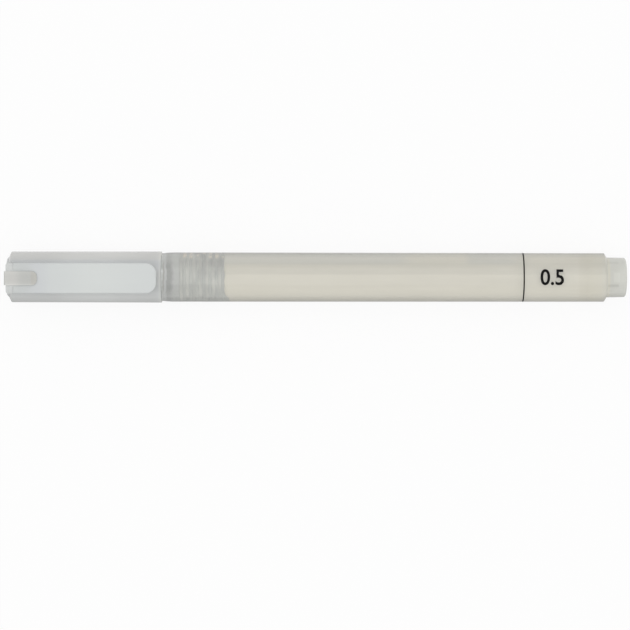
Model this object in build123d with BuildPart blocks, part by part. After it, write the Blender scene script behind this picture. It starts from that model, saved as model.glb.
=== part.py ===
"""Fine-tip paint marker with its cap on.

The pen lies along X, with the cap and the nib towards -X, the tail towards +X and
the clip on top. Z = 0 is the surface that it lies on, and the origin is under the
middle of its length. Lengths are in millimetres. Stations along the pen count from
the front face of the barrel, positive towards the tail, and heights and radii count
from the axis of the pen.
"""

import os
from math import cos, isclose, sin, sqrt, tau

from build123d import *

os.makedirs("parts", exist_ok=True)

# Fits that several pieces share
press_gap = 0.02  # radial, between pieces pushed together for good
slide_gap = 0.05  # radial, between pieces that slide in each other
seat_gap = 0.05  # along the pen, between faces that stop each other
overrun = 2.0  # how far a cut runs past what it cuts

# Barrel: clear tube, round at the front, bevelled at the rear
barrel_length = 100.58
barrel_diameter = 11.08
barrel_wall = 1.16
barrel_round_share = 0.83  # of the wall
barrel_bevel_length = 0.55
barrel_bevel_share = 0.78  # of the wall

# Tail plug: drafted head with a crowned end, hollow skirt in the barrel
plug_head_length = 4.35
plug_crown = 0.05
plug_flange = 0.18  # the head stands this far over the bore
plug_draft = 0.09
plug_round = 0.5
plug_skirt_length = 4.6
plug_bore_diameter = 5.1
plug_end_wall = 1.7

# Front section: skirt in the barrel, collar with a snap bead, shoulder, cone, nose
section_length = 17.9  # barrel face to nose face
skirt_length = 4.1
skirt_wall = 0.75
collar_length = 3.8
bead_width = 1.1
bead_height = 0.15
shoulder_length = 1.05
shoulder_height = 1.0
shoulder_round = 1.5
chamber_wall = 0.5  # between the valve chamber and the shoulder
section_wall = 0.61  # round the nib holder, at the nose
nose_length = 2.4
nose_round_share = 0.95  # of the nose's wall

# Nib and its metal sleeve
nib_diameter = 0.8
nib_reach = 1.25  # out of the sleeve
nib_end_gap = 0.04
nib_travel = 1.2
travel_margin = 0.4
sleeve_body_diameter = 2.68
sleeve_tube_diameter = 1.22
sleeve_wall = 0.3
sleeve_body_reach = 1.27  # out of the nose
sleeve_taper_length = 0.75
sleeve_tube_length = 2.9
sleeve_seat_depth = 1.5  # in the holder

# Nib holder, feed wick and absorber
holder_lip = 0.5
holder_head_share = 0.4  # of the holder's length
holder_wall = 0.35
holder_end_wall = 0.8
holder_hole_diameter = 1.0
wick_diameter = 1.9
absorber_step = 0.45

# Valve: ribbed cage, seat, stem, spring and retainer
cage_wall = 0.5
cage_front_wall = 1.0
cage_tail_length = 10.85
rib_count = 8
rib_width = 0.7
rib_height = 0.8
valve_hole_share = 0.4  # of the cage's bore
valve_flow_gap = 0.35
valve_seat_thickness = 1.0
stem_head_length = 1.6
stem_head_gap = 0.7
stem_tail_length = 2.6
stem_tail_gap = 0.3
spring_wire = 0.4
spring_length = 8.0
spring_turns = 6
steps_per_turn = 4
spring_inset = 0.05
retainer_thickness = 1.2
retainer_hole_diameter = 2.0
retainer_flow_holes = 5
retainer_flow_share = 0.55  # of the land between the middle hole and the rim

# Paint on the wall, and the loose ball
paint_thickness = 0.3
paint_end_gap = 0.2
ball_diameter = 5.0
ball_place_share = 0.5  # of the paint's length

# Cap: drafted tube with a bevelled end, inner cup, end plug
cap_mouth_gap = 0.1
cap_bead_gap = 0.06
cap_wall = 1.22
cap_draft = 0.05
cap_bevel_length = 0.5
cap_bevel_share = 0.93  # of the wall
cap_mouth_chamfer = 0.2
snap_groove_depth = 0.1
snap_groove_margin = 0.2
tip_room = 6.1  # clear space in front of the nib
inner_cap_wall = 0.6
inner_cap_end_wall = 1.0
inner_cap_overlap = 8.9  # over the cone
inner_cap_seal_gap = 0.05
end_plug_depth = 3.28
end_plug_reach = 0.5
end_plug_round = 0.6

# Clip: flat plate with a rounded tip, on a foot that rocks, with a nub under the tip
clip_gap = 0.9
clip_thickness = 1.1
clip_width = 6.83
clip_tip_setback = 0.83
clip_root_setback = 1.25
clip_tip_round_share = 0.7  # of half the width
clip_edge_round_share = 0.32  # of the thickness
rocker_diameter = 1.2
foot_width_share = 0.8  # of the clip's width
foot_rise = 0.5  # room under the root when the clip rocks
nub_diameter = 1.6
nub_setback = 3.4
nub_round_share = 0.5  # of the nub's radius

# Tongue: strap let into the end plug, bent over the cap's end, pegged through the clip's root
tongue_width = 3.27
tongue_thickness = 0.6
tongue_tip_thickness = 0.25
tongue_slope_length = 1.4
tongue_length = 7.42
tongue_reach = 0.05
tongue_wall = 0.35  # over the end plug
tongue_foot_height = 1.2
tongue_lift_gap = 0.06
tongue_root_gap = 0.2
tongue_bend_round = 0.7
tongue_tip_round_share = 0.72  # of half the width
tongue_post_diameter = 1.8
tongue_post_depth = 2.0
peg_diameter = 1.6
peg_gap = 0.2

# Radii that follow from the sizes above
barrel_radius = barrel_diameter / 2
bore_radius = barrel_radius - barrel_wall
collar_radius = bore_radius - press_gap
bead_radius = collar_radius + bead_height
cap_bore_radius = bead_radius + cap_bead_gap
cap_mouth_radius = cap_bore_radius + cap_wall
cap_end_radius = cap_mouth_radius - cap_draft
cap_fit_radius = cap_bore_radius - press_gap
sleeve_body_radius = sleeve_body_diameter / 2
sleeve_tube_radius = sleeve_tube_diameter / 2
nose_bore_radius = sleeve_body_radius + slide_gap
holder_bore_radius = nose_bore_radius + holder_lip
holder_radius = holder_bore_radius - slide_gap
cone_front_radius = holder_bore_radius + section_wall
cone_rear_radius = collar_radius - shoulder_height
absorber_bore_radius = holder_bore_radius + absorber_step
wick_bore_radius = wick_diameter / 2 + press_gap
holder_stem_radius = wick_bore_radius + holder_wall
chamber_radius = collar_radius - skirt_wall
cage_nose_radius = chamber_radius - press_gap
cage_bore_radius = cage_nose_radius - cage_wall
rib_radius = bore_radius - press_gap
cage_core_radius = rib_radius - rib_height
valve_hole_radius = cage_bore_radius * valve_hole_share
stem_rod_radius = valve_hole_radius - valve_flow_gap
stem_head_radius = cage_bore_radius - stem_head_gap
spring_radius = stem_head_radius - spring_wire / 2 - spring_inset
stem_tail_radius = spring_radius - spring_wire / 2 - stem_tail_gap
paint_inner_radius = bore_radius - press_gap - paint_thickness
ball_radius = ball_diameter / 2
ball_height = -(paint_inner_radius - ball_radius - slide_gap)

# Stations that follow from the sizes above
plug_face = barrel_length + plug_head_length
plug_skirt_front = barrel_length - plug_skirt_length
nose_face = -section_length
sleeve_body_front = nose_face - sleeve_body_reach
sleeve_tube_rear = sleeve_body_front - sleeve_taper_length
sleeve_front = sleeve_tube_rear - sleeve_tube_length
nib_tip = sleeve_front - nib_reach
holder_front = nose_face + nose_length + seat_gap
sleeve_rear = holder_front + sleeve_seat_depth
chamber_front = chamber_wall - collar_length
cage_front = chamber_front + seat_gap
holder_rear = cage_front - nib_travel - travel_margin
wick_rear = holder_rear - holder_end_wall
holder_head_rear = holder_front + (holder_rear - holder_front) * holder_head_share
absorber_front = holder_head_rear + nib_travel + travel_margin
cage_shoulder = skirt_length + seat_gap
cage_rear = cage_shoulder + cage_tail_length
valve_seat_front = cage_front + cage_front_wall + press_gap
valve_seat_rear = valve_seat_front + valve_seat_thickness
stem_head_front = valve_seat_rear + seat_gap
stem_head_rear = stem_head_front + stem_head_length
spring_front = stem_head_rear + seat_gap
spring_rear = spring_front + spring_length
retainer_front = spring_rear + seat_gap
paint_front = cage_rear + paint_end_gap
paint_rear = plug_skirt_front - paint_end_gap
ball_station = paint_front + (paint_rear - paint_front) * ball_place_share
cap_mouth = -cap_mouth_gap
inner_cap_floor = nib_tip - tip_room
inner_cap_face = inner_cap_floor - inner_cap_end_wall
inner_cap_lip = nose_face + inner_cap_overlap
end_plug_rear = inner_cap_face - seat_gap
cap_end = end_plug_rear - end_plug_depth
end_plug_face = cap_end - end_plug_reach
tongue_face = end_plug_face - tongue_reach
tongue_tip = tongue_face + tongue_length
clip_root = cap_end + clip_root_setback
clip_tip = cap_mouth - clip_tip_setback
tongue_block_rear = clip_root - tongue_root_gap

# Heights over the axis that follow from the sizes above
clip_underside = cap_mouth_radius + clip_gap
clip_top = clip_underside + clip_thickness
cap_top_clear = cap_mouth_radius + seat_gap
rocker_height = cap_top_clear + rocker_diameter / 2
tongue_underside = clip_top + tongue_lift_gap
tongue_top = tongue_underside + tongue_thickness

# Place of the pen in its frame
pen_front = -(plug_face + plug_crown + tongue_face) / 2
axis_height = cap_mouth_radius
axial_plane = Plane(origin=(pen_front, 0, axis_height), x_dir=(1, 0, 0), z_dir=(0, -1, 0))
pen_axis = Axis((pen_front, 0, axis_height), (1, 0, 0))


def cone_radius(station):
    """Outer radius of the front section's cone."""
    cone_rear = -collar_length - shoulder_length
    along = (station - nose_face) / (cone_rear - nose_face)
    return cone_front_radius + (cone_rear_radius - cone_front_radius) * along


def level_plane(height):
    """Horizontal plane at a height over the axis, with X counted in stations."""
    return Plane(origin=(pen_front, 0, axis_height + height))


def cross_plane(station):
    """Plane across the pen, seen from the tail, centred on the axis."""
    return Plane(origin=(pen_front + station, 0, axis_height), x_dir=(0, 1, 0), z_dir=(1, 0, 0))


def rim(part, station, radius):
    """Circular edges of a turned piece at a station, with a radius."""
    return part.edges().filter_by(
        lambda edge: edge.geom_type == GeomType.CIRCLE
        and isclose(edge.radius, radius, rel_tol=1e-6)
        and isclose(edge.arc_center.X - pen_front, station, rel_tol=1e-6, abs_tol=1e-6)
    )


with BuildPart() as barrel:
    with BuildSketch(level_plane(0)):
        with BuildLine():
            Polyline(
                (0, bore_radius),
                (0, barrel_radius),
                (barrel_length - barrel_bevel_length, barrel_radius),
                (barrel_length, barrel_radius - barrel_wall * barrel_bevel_share),
                (barrel_length, bore_radius),
                close=True,
            )
        make_face()
    revolve(axis=pen_axis)
    fillet(rim(barrel, 0, barrel_radius), barrel_wall * barrel_round_share)

with BuildPart() as tail_plug:
    plug_radius = bore_radius + plug_flange
    with BuildSketch(axial_plane):
        with BuildLine():
            Polyline(
                (plug_face + plug_crown, 0),
                (plug_face - plug_end_wall, 0),
                (plug_face - plug_end_wall, plug_bore_diameter / 2),
                (plug_skirt_front, plug_bore_diameter / 2),
                (plug_skirt_front, bore_radius - press_gap),
                (barrel_length + press_gap, bore_radius - press_gap),
                (barrel_length + press_gap, plug_radius),
                (plug_face, plug_radius - plug_draft),
            )
            ThreePointArc(
                (plug_face, plug_radius - plug_draft),
                (plug_face + plug_crown * 3 / 4, (plug_radius - plug_draft) / 2),
                (plug_face + plug_crown, 0),
            )
        make_face()
    revolve(axis=pen_axis)
    fillet(rim(tail_plug, plug_face, plug_radius - plug_draft), plug_round)

with BuildPart() as front_section:
    cone_rear = -collar_length - shoulder_length
    with BuildSketch(axial_plane):
        with BuildLine():
            Polyline(
                (-collar_length, collar_radius),
                (cone_rear, cone_rear_radius),
                (nose_face, cone_front_radius),
                (nose_face, nose_bore_radius),
                (nose_face + nose_length, nose_bore_radius),
                (nose_face + nose_length, holder_bore_radius),
                (absorber_front - seat_gap, holder_bore_radius),
                (absorber_front - seat_gap, absorber_bore_radius),
                (chamber_front, absorber_bore_radius),
                (chamber_front, chamber_radius),
                (skirt_length, chamber_radius),
                (skirt_length, collar_radius),
                (bead_width - collar_length, collar_radius),
            )
            ThreePointArc(
                (bead_width - collar_length, collar_radius),
                (bead_width / 2 - collar_length, bead_radius),
                (-collar_length, collar_radius),
            )
        make_face()
    revolve(axis=pen_axis)
    fillet(rim(front_section, cone_rear, cone_rear_radius), shoulder_round)
    nose_wall = cone_front_radius - nose_bore_radius
    fillet(rim(front_section, nose_face, cone_front_radius), nose_wall * nose_round_share)

with BuildPart() as nib_sleeve:
    tube_bore_radius = nib_diameter / 2 + press_gap
    body_bore_radius = sleeve_body_radius - sleeve_wall
    with BuildSketch(axial_plane):
        with BuildLine():
            Polyline(
                (sleeve_front, tube_bore_radius),
                (sleeve_front, sleeve_tube_radius),
                (sleeve_tube_rear, sleeve_tube_radius),
                (sleeve_body_front, sleeve_body_radius),
                (sleeve_rear, sleeve_body_radius),
                (sleeve_rear, body_bore_radius),
                (sleeve_body_front + sleeve_wall, body_bore_radius),
                (sleeve_tube_rear + sleeve_wall, tube_bore_radius),
                close=True,
            )
        make_face()
    revolve(axis=pen_axis)

with BuildPart() as nib:
    nib_radius = nib_diameter / 2
    nib_body_radius = body_bore_radius - press_gap
    nib_body_front = sleeve_body_front + sleeve_wall + nib_end_gap
    nib_neck_rear = sleeve_tube_rear + sleeve_wall + nib_end_gap
    with BuildSketch(axial_plane):
        with BuildLine():
            ThreePointArc(
                (nib_tip, 0),
                (nib_tip + nib_radius * (1 - sqrt(1 / 2)), nib_radius * sqrt(1 / 2)),
                (nib_tip + nib_radius, nib_radius),
            )
            Polyline(
                (nib_tip + nib_radius, nib_radius),
                (nib_neck_rear, nib_radius),
                (nib_body_front, nib_body_radius),
                (sleeve_rear, nib_body_radius),
                (sleeve_rear, 0),
                (nib_tip, 0),
            )
        make_face()
    revolve(axis=pen_axis)

with BuildPart() as nib_holder:
    socket_radius = sleeve_body_radius + press_gap
    with BuildSketch(axial_plane):
        with BuildLine():
            Polyline(
                (holder_front, socket_radius),
                (holder_front, holder_radius),
                (holder_head_rear, holder_radius),
                (holder_head_rear, holder_stem_radius),
                (holder_rear, holder_stem_radius),
                (holder_rear, holder_hole_diameter / 2),
                (wick_rear, holder_hole_diameter / 2),
                (wick_rear, wick_bore_radius),
                (sleeve_rear + press_gap, wick_bore_radius),
                (sleeve_rear + press_gap, socket_radius),
                close=True,
            )
        make_face()
    revolve(axis=pen_axis)

with BuildPart() as feed_wick:
    wick_front = sleeve_rear + press_gap
    with BuildSketch(cross_plane(wick_front)):
        Circle(wick_diameter / 2)
    extrude(amount=wick_rear - press_gap - wick_front)

with BuildPart() as absorber_ring:
    with BuildSketch(cross_plane(absorber_front)):
        Circle(absorber_bore_radius - press_gap)
        Circle(holder_stem_radius + slide_gap, mode=Mode.SUBTRACT)
    extrude(amount=wick_rear - absorber_front)

with BuildPart() as valve_cage:
    with BuildSketch(axial_plane):
        with BuildLine():
            Polyline(
                (cage_front, valve_hole_radius),
                (cage_front, cage_nose_radius),
                (cage_shoulder, cage_nose_radius),
                (cage_shoulder, cage_core_radius),
                (cage_rear, cage_core_radius),
                (cage_rear, cage_bore_radius),
                (cage_front + cage_front_wall, cage_bore_radius),
                (cage_front + cage_front_wall, valve_hole_radius),
                close=True,
            )
        make_face()
    revolve(axis=pen_axis)
    rib_pitch = (cage_tail_length - rib_width) / (rib_count - 1)
    for number in range(rib_count):
        with BuildSketch(cross_plane(cage_shoulder + rib_pitch * number)):
            Circle(rib_radius)
            Circle((cage_bore_radius + cage_core_radius) / 2, mode=Mode.SUBTRACT)
        extrude(amount=rib_width)

with BuildPart() as valve_seat:
    with BuildSketch(cross_plane(valve_seat_front)):
        Circle(cage_bore_radius - press_gap)
        Circle(valve_hole_radius, mode=Mode.SUBTRACT)
    extrude(amount=valve_seat_thickness)

with BuildPart() as valve_stem:
    with BuildSketch(axial_plane):
        with BuildLine():
            Polyline(
                (holder_rear + seat_gap, 0),
                (holder_rear + seat_gap, stem_rod_radius),
                (stem_head_front, stem_rod_radius),
                (stem_head_front, stem_head_radius),
                (stem_head_rear, stem_head_radius),
                (stem_head_rear, stem_tail_radius),
                (stem_head_rear + stem_tail_length, stem_tail_radius),
                (stem_head_rear + stem_tail_length, 0),
                close=True,
            )
        make_face()
    revolve(axis=pen_axis)

coil_start = spring_front + spring_wire / 2
coil_pitch = (spring_length - spring_wire) / spring_turns
coil_turn = tau * sqrt(spring_radius**2 + (coil_pitch / tau) ** 2)


def coil_point(turn):
    """Point on the middle line of the spring, after a number of turns."""
    return Vector(
        pen_front + coil_start + coil_pitch * turn,
        spring_radius * cos(tau * turn),
        axis_height + spring_radius * sin(tau * turn),
    )


def coil_direction(turn):
    """Direction of the wire there, of length one."""
    return Vector(
        coil_pitch / coil_turn,
        -tau * spring_radius * sin(tau * turn) / coil_turn,
        tau * spring_radius * cos(tau * turn) / coil_turn,
    )


def biarc(first, last):
    """Two tangent arcs from one number of turns to another."""
    start, end = coil_point(first), coil_point(last)
    leave, arrive = coil_direction(first), coil_direction(last)
    chord = end - start
    spread = 2 * (1 - leave.dot(arrive))
    lean = chord.dot(leave + arrive)
    reach = (sqrt(lean**2 + spread * chord.dot(chord)) - lean) / spread
    near, far = start + leave * reach, end - arrive * reach
    middle = (near + far) * 0.5
    TangentArc(start, middle, tangent=leave)
    TangentArc(middle, end, tangent=far - near)


with BuildPart() as valve_spring:
    with BuildLine() as coil:
        for step in range(spring_turns * steps_per_turn):
            biarc(step / steps_per_turn, (step + 1) / steps_per_turn)
    with BuildSketch(Plane(origin=coil_point(0), z_dir=coil_direction(0))):
        Circle(spring_wire / 2)
    sweep(path=coil.wire())

turn_steps = 48
coil_points = [coil_point(step / turn_steps) for step in range(spring_turns * turn_steps + 1)]
coil_gap = min(
    (coil_points[later] - coil_points[sooner]).length - spring_wire
    for sooner in range(len(coil_points))
    for later in range(sooner + turn_steps // 2, len(coil_points))
)
print("valve spring, least gap to itself:", round(coil_gap, 3))

with BuildPart() as spring_retainer:
    retainer_radius = cage_bore_radius - press_gap
    land = retainer_radius - retainer_hole_diameter / 2
    with BuildSketch(cross_plane(retainer_front)):
        Circle(retainer_radius)
        Circle(retainer_hole_diameter / 2, mode=Mode.SUBTRACT)
        with PolarLocations(retainer_radius - land / 2, retainer_flow_holes):
            Circle(land * retainer_flow_share / 2, mode=Mode.SUBTRACT)
    extrude(amount=retainer_thickness)

with BuildPart() as paint_film:
    with BuildSketch(cross_plane(paint_front)):
        Circle(bore_radius - press_gap)
        Circle(paint_inner_radius, mode=Mode.SUBTRACT)
    extrude(amount=paint_rear - paint_front)

with BuildPart() as mixing_ball:
    with Locations((pen_front + ball_station, 0, axis_height + ball_height)):
        Sphere(ball_radius)

with BuildPart() as cap_shell:
    groove_front = -collar_length - snap_groove_margin
    groove_rear = bead_width - collar_length + snap_groove_margin
    with BuildSketch(level_plane(0)):
        with BuildLine():
            Polyline(
                (cap_mouth, cap_bore_radius),
                (cap_mouth, cap_mouth_radius),
                (cap_end + cap_bevel_length, cap_end_radius),
                (cap_end, cap_end_radius - cap_wall * cap_bevel_share),
                (cap_end, cap_bore_radius),
                (groove_front, cap_bore_radius),
                (groove_front + snap_groove_margin, cap_bore_radius + snap_groove_depth),
                (groove_rear - snap_groove_margin, cap_bore_radius + snap_groove_depth),
                (groove_rear, cap_bore_radius),
                close=True,
            )
        make_face()
    revolve(axis=pen_axis)
    chamfer(rim(cap_shell, cap_mouth, cap_mouth_radius), cap_mouth_chamfer)

with BuildPart() as inner_cap:
    seal_radius = cone_radius(inner_cap_lip) + inner_cap_seal_gap
    with BuildSketch(axial_plane):
        with BuildLine():
            Polyline(
                (inner_cap_face, 0),
                (inner_cap_face, cap_fit_radius),
                (inner_cap_floor, cap_fit_radius),
                (inner_cap_floor, seal_radius + inner_cap_wall),
                (inner_cap_lip, seal_radius + inner_cap_wall),
                (inner_cap_lip, seal_radius),
                (inner_cap_floor, seal_radius),
                (inner_cap_floor, 0),
                close=True,
            )
        make_face()
    revolve(axis=pen_axis)

with BuildPart() as cap_end_plug:
    post_height = (tongue_foot_height + cap_fit_radius - end_plug_round) / 2
    wall_rear = tongue_face + tongue_wall
    slot_foot = tongue_foot_height - press_gap
    slot_top = cap_fit_radius + overrun
    with BuildSketch(cross_plane(end_plug_face)):
        Circle(cap_fit_radius)
    extrude(amount=end_plug_reach + end_plug_depth)
    fillet(rim(cap_end_plug, end_plug_face, cap_fit_radius), end_plug_round)
    with BuildSketch(cross_plane(wall_rear + press_gap)):
        with Locations((0, (slot_foot + slot_top) / 2)):
            Rectangle(tongue_width + 2 * press_gap, slot_top - slot_foot)
    extrude(amount=-overrun, mode=Mode.SUBTRACT)
    with BuildSketch(cross_plane(wall_rear)):
        with Locations((0, post_height)):
            Circle(tongue_post_diameter / 2 + press_gap)
    extrude(amount=tongue_post_depth + seat_gap, mode=Mode.SUBTRACT)

with BuildPart() as clip_tongue:
    with BuildSketch(axial_plane):
        with BuildLine():
            Polyline(
                (tongue_face, tongue_foot_height),
                (tongue_face, tongue_top),
                (tongue_tip - tongue_slope_length, tongue_top),
                (tongue_tip, tongue_underside + tongue_tip_thickness),
                (tongue_tip, tongue_underside),
                (tongue_block_rear, tongue_underside),
                (tongue_block_rear, cap_top_clear),
                (wall_rear, cap_top_clear),
                (wall_rear, tongue_foot_height),
                close=True,
            )
        make_face()
    extrude(amount=tongue_width / 2, both=True)
    bend = clip_tongue.edges().filter_by(Axis.Y).group_by(Axis.X)[0].sort_by(Axis.Z)[-1]
    fillet(bend, tongue_bend_round)
    tip_corners = clip_tongue.edges().filter_by(Axis.Z).group_by(Axis.X)[-1]
    fillet(tip_corners, tongue_width / 2 * tongue_tip_round_share)
    with BuildSketch(cross_plane(wall_rear - press_gap)):
        with Locations((0, post_height)):
            Circle(tongue_post_diameter / 2)
    extrude(amount=tongue_post_depth + press_gap)
    peg_station = (tongue_block_rear + tongue_tip) / 2
    with BuildSketch(level_plane(clip_underside)):
        with Locations((peg_station, 0)):
            Circle(peg_diameter / 2)
    extrude(amount=tongue_top - clip_underside - tongue_thickness / 2)

with BuildPart() as pocket_clip:
    with BuildSketch(level_plane(clip_underside)):
        with Locations(((clip_root + clip_tip) / 2, 0)):
            Rectangle(clip_tip - clip_root, clip_width)
    extrude(amount=clip_thickness)
    tip_corners = pocket_clip.edges().filter_by(Axis.Z).group_by(Axis.X)[-1]
    fillet(tip_corners, clip_width / 2 * clip_tip_round_share)
    top_face = pocket_clip.faces().sort_by(Axis.Z)[-1]
    fillet(top_face.edges(), clip_thickness * clip_edge_round_share)
    with BuildSketch(axial_plane):
        with Locations((tongue_tip, rocker_height)):
            Circle(rocker_diameter / 2)
        with BuildLine():
            Polyline(
                (tongue_tip, cap_top_clear),
                (tongue_tip, rocker_height),
                (tongue_tip, clip_underside + clip_thickness / 2),
                (clip_root, clip_underside + clip_thickness / 2),
                (clip_root, cap_top_clear + foot_rise),
                close=True,
            )
        make_face()
    extrude(amount=clip_width / 2 * foot_width_share, both=True)
    with BuildSketch(level_plane(cap_top_clear)):
        with Locations((clip_tip - nub_setback, 0)):
            Circle(nub_diameter / 2)
    extrude(amount=clip_underside - cap_top_clear)
    nub_face = pocket_clip.faces().filter_by(Plane.XY).sort_by(Axis.Z)[0]
    fillet(nub_face.edges(), nub_diameter / 2 * nub_round_share)
    with BuildSketch(level_plane(clip_underside - overrun)):
        with Locations((peg_station, 0)):
            Circle(peg_diameter / 2 + peg_gap)
    extrude(amount=clip_thickness + 2 * overrun, mode=Mode.SUBTRACT)

pieces = {
    "barrel": barrel,
    "tail_plug": tail_plug,
    "front_section": front_section,
    "nib_sleeve": nib_sleeve,
    "nib": nib,
    "nib_holder": nib_holder,
    "feed_wick": feed_wick,
    "absorber_ring": absorber_ring,
    "valve_cage": valve_cage,
    "valve_seat": valve_seat,
    "valve_stem": valve_stem,
    "valve_spring": valve_spring,
    "spring_retainer": spring_retainer,
    "paint_film": paint_film,
    "mixing_ball": mixing_ball,
    "cap_shell": cap_shell,
    "inner_cap": inner_cap,
    "cap_end_plug": cap_end_plug,
    "clip_tongue": clip_tongue,
    "pocket_clip": pocket_clip,
}
for name, piece in pieces.items():
    piece.part.label = name
    export_step(piece.part, f"parts/{name}.step")
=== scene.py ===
import math

import bmesh
import bpy
from mathutils import Matrix, Vector


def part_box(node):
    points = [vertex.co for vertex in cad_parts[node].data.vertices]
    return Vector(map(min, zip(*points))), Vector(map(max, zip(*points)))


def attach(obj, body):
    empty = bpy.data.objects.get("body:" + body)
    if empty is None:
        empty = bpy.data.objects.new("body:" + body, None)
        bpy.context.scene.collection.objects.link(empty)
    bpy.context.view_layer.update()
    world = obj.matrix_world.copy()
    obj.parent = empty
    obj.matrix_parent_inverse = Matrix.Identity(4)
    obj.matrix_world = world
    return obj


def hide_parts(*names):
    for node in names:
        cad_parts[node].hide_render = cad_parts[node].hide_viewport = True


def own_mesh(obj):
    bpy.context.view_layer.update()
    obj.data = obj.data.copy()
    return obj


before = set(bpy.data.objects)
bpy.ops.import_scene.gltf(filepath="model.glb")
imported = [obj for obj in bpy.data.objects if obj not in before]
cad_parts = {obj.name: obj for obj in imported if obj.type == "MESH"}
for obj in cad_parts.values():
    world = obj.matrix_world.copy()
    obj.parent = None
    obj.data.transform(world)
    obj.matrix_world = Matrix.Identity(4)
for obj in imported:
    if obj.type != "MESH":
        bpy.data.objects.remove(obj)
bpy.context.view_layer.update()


# Barrel: a long tube moulded in clear, slightly milky polypropylene, with a little draft
# towards the tail. Its front rim is rolled over to a soft edge, and its rear rim is
# bevelled where the tail plug is pushed in.
mm = 0.001
same_point = 0.0005 * mm
on_the_rim = 0.002 * mm
barrel_low, barrel_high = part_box("barrel")
front_face = barrel_low.x
pen_line = (barrel_low.z + barrel_high.z) / 2
barrel_length = 100.58
barrel_bore = 4.38
barrel_front_radius = 5.58
barrel_rear_radius = 5.50
barrel_nose = (0, 5.41)
barrel_shoulder = (1.9, barrel_front_radius)
barrel_bevel = (100.03, barrel_rear_radius)
barrel_end = (barrel_length, 4.63)
barrel_rounds = [
    (barrel_nose, 0.2, 6),
    (barrel_shoulder, 0.8, 4),
    (barrel_bevel, 0.1, 3),
    (barrel_end, 0.06, 3),
]
# Painted shade: the barrel's colour is darker towards its two sides, more on one side than the
# other.
barrel_edge_shade = [(-5.56, 0.8), (-5.31, 0.9), (-5.05, 1), (5.05, 1), (5.31, 0.72), (5.56, 0.5)]
barrel_clearness = 0.76
light_let_in = (0.98, 0.98, 0.975)


def on_pen(station, radius):
    """A point over the pen's line: millimetres behind the barrel's front, and out from the line."""
    return Vector((front_face + station * mm, 0, pen_line + radius * mm))


def turned(outline, steps=144):
    """Turns a closed outline of (station, radius) points round the pen's line."""
    bm = bmesh.new()
    points = [bm.verts.new(on_pen(*place)) for place in outline]
    lines = [bm.edges.new(pair) for pair in zip(points, points[1:])]
    lines.append(bm.edges.new((points[-1], points[0])))
    bmesh.ops.spin(
        bm,
        geom=points + lines,
        cent=on_pen(0, 0),
        axis=(1, 0, 0),
        angle=2 * math.pi,
        steps=steps,
        use_merge=True,
    )
    bmesh.ops.remove_doubles(bm, verts=bm.verts, dist=same_point)
    bmesh.ops.recalc_face_normals(bm, faces=bm.faces)
    return bm


def rounded(bm, edges, width, segments):
    """Rounds edges to a width in millimetres."""
    bmesh.ops.bevel(
        bm,
        geom=edges,
        offset=width * mm,
        affect="EDGES",
        segments=segments,
        profile=0.5,
        clamp_overlap=True,
        material=-1,
    )


def soften(bm, rounds):
    """Rounds the rims of a turned piece, each by its (station, radius), width and segments."""
    for (station, radius), width, segments in rounds:
        x = on_pen(station, radius).x
        rim = [
            edge
            for edge in bm.edges
            if all(
                abs(end.co.x - x) < on_the_rim
                and abs(math.hypot(end.co.y, end.co.z - pen_line) - radius * mm) < on_the_rim
                for end in edge.verts
            )
        ]
        rounded(bm, rim, width, segments)


def finished(name, bm, material, body, slot, *stands_for):
    """Makes the mesh a piece that rides on its body and stands for its CAD nodes."""
    mesh = bpy.data.meshes.new(name)
    bm.to_mesh(mesh)
    bm.free()
    for face in mesh.polygons:
        face.use_smooth = True
    piece = bpy.data.objects.new(name, mesh)
    bpy.context.scene.collection.objects.link(piece)
    mesh.materials.append(material)
    even = piece.modifiers.new("even_shading", "WEIGHTED_NORMAL")
    even.keep_sharp = True
    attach(piece, body)
    if stands_for:
        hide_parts(*stands_for)
    return piece


def new_material(name):
    """A material with its node tree at hand."""
    material = bpy.data.materials.new(name)
    material.use_nodes = True
    return material, material.node_tree


def grain(tree, size, stretch=(1, 1, 1), detail=3.0):
    """Noise in the piece's own place, with features of a size in millimetres."""
    place = tree.nodes.new("ShaderNodeTexCoord")
    along = tree.nodes.new("ShaderNodeMapping")
    along.inputs["Scale"].default_value = stretch
    tree.links.new(place.outputs["Object"], along.inputs["Vector"])
    noise = tree.nodes.new("ShaderNodeTexNoise")
    noise.inputs["Scale"].default_value = 1 / (size * mm)
    noise.inputs["Detail"].default_value = detail
    tree.links.new(along.outputs["Vector"], noise.inputs["Vector"])
    return noise.outputs["Fac"]


def between(tree, value, low, high, start=0.3, end=0.7):
    """Spreads a value, by default a noise, over a range from low to high."""
    spread = tree.nodes.new("ShaderNodeMapRange")
    spread.inputs["From Min"].default_value = start
    spread.inputs["From Max"].default_value = end
    spread.inputs["To Min"].default_value = low
    spread.inputs["To Max"].default_value = high
    tree.links.new(value, spread.inputs["Value"])
    return spread.outputs["Result"]


def reckoned(tree, operation, first, second):
    """A sum, a product or the larger of two values, the second of which may be a plain number."""
    step = tree.nodes.new("ShaderNodeMath")
    step.operation = operation
    tree.links.new(first, step.inputs[0])
    if isinstance(second, float):
        step.inputs[1].default_value = second
    else:
        tree.links.new(second, step.inputs[1])
    return step.outputs[0]


def tinted(tree, share, first, second):
    """Goes from one colour to another by a share; each is a plain colour or another node's."""
    mix = tree.nodes.new("ShaderNodeMix")
    mix.data_type = "RGBA"
    for socket, colour in ((mix.inputs["A"], first), (mix.inputs["B"], second)):
        if isinstance(colour, tuple):
            socket.default_value = (*colour, 1)
        else:
            tree.links.new(colour, socket)
    tree.links.new(share, mix.inputs["Factor"])
    return mix.outputs["Result"]


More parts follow.
